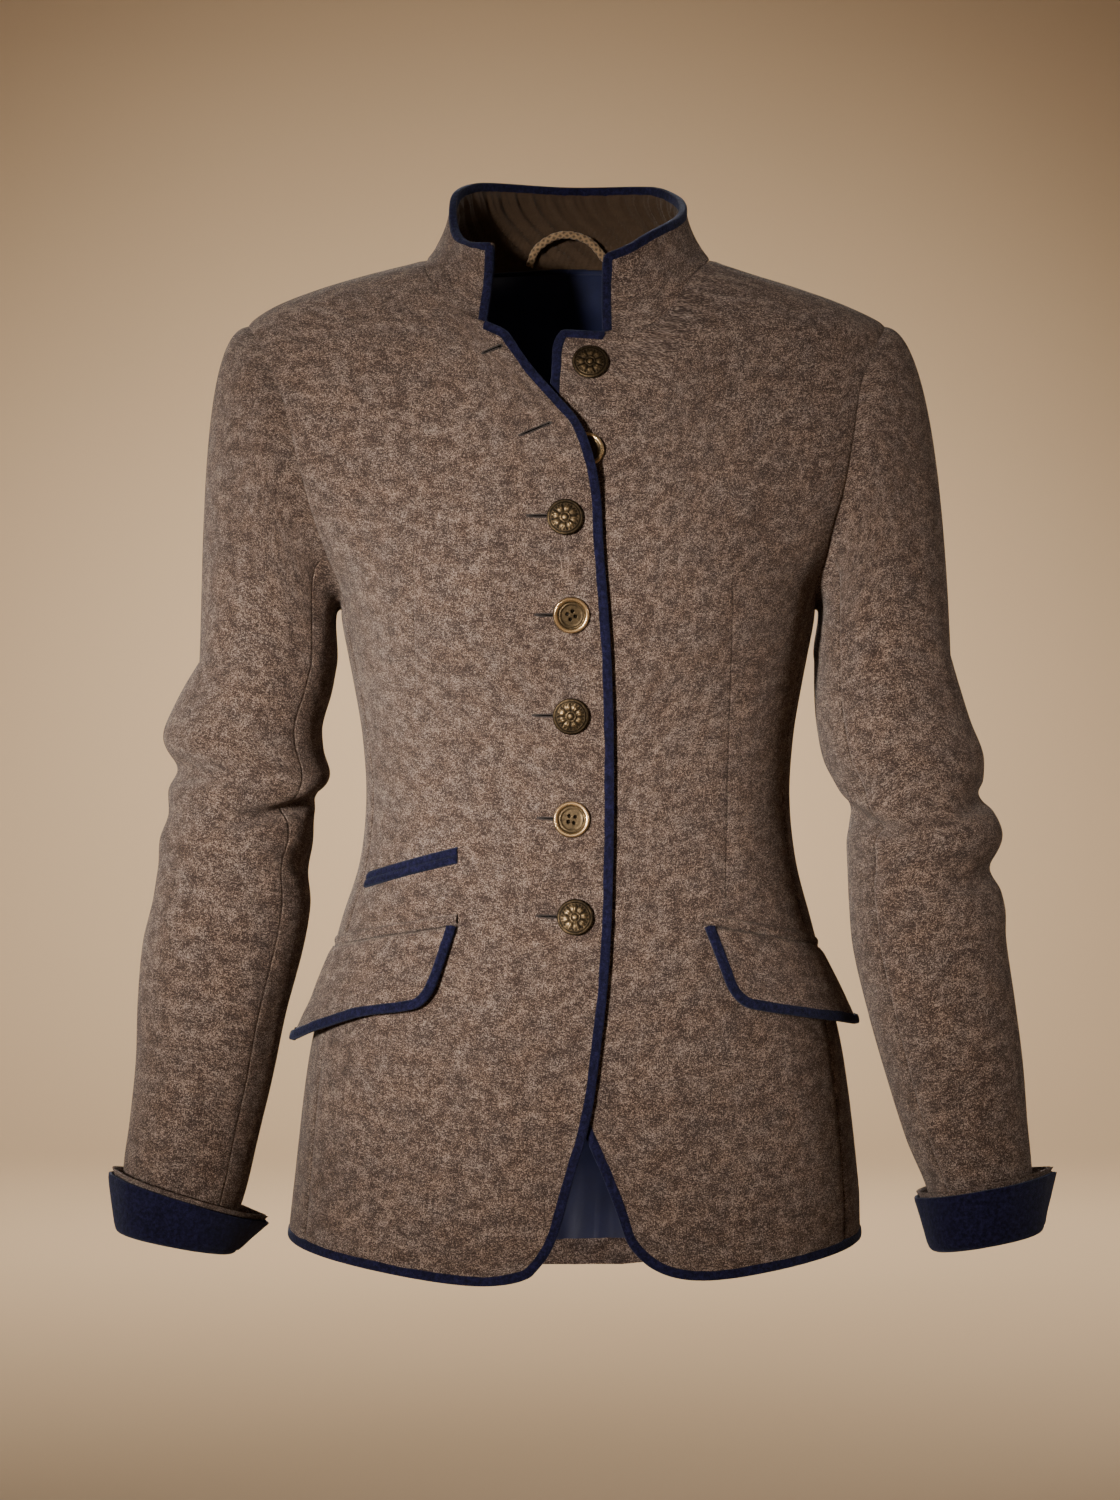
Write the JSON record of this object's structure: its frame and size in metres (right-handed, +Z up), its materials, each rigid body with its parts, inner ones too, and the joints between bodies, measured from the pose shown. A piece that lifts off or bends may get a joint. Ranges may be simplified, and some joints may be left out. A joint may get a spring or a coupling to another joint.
{
  "type": "blazer",
  "caption": "Fitted wool blazer with a stand collar, felt-bound cutaway fronts, flap pockets, a ticket pocket and turned-back cuffs, in its worn shape.",
  "frame": {"origin": "middle of the neck base between the shoulders, where the wearer's shoulders hold the garment up", "axes": "+Z up, the front faces -Y, +X towards the wearer's left"},
  "size_m": [0.5716, 0.2388, 0.6755],
  "materials": {
    "wool": "felted wool cloth, brown and taupe heather, matt",
    "felt": "navy wool felt, matt",
    "satin": "navy satin lining, soft sheen",
    "cotton": "brown cotton, plain weave, puckered",
    "brass": "antique brass, darkened in the hollows",
    "cord": "tan braided cord"
  },
  "bodies": {
    "root": {"front_right": "wool", "front_left": "wool", "side_right": "wool", "side_left": "wool", "back_right": "wool", "back_left": "wool", "front_binding_right": "felt", "front_binding_left": "felt", "sleeve_top_right": "wool", "sleeve_under_right": "wool", "turnup_right": "wool", "cuff_right": "felt", "sleeve_top_left": "wool", "sleeve_under_left": "wool", "turnup_left": "wool", "cuff_left": "felt", "collar": "wool", "collar_facing": "cotton", "collar_binding": "felt", "lining_back": "satin", "flap_right": "wool", "flap_left": "wool", "flap_binding_right": "felt", "flap_binding_left": "felt", "pocket_jet_right": "wool", "pocket_jet_left": "wool", "ticket_welt_upper": "felt", "ticket_welt_lower": "felt", "button_1": "brass", "button_2": "brass", "button_3": "brass", "button_4": "brass", "button_5": "brass", "button_6": "brass", "button_7": "brass", "hanger_loop": "cord"}
  },
  "joints": []
}
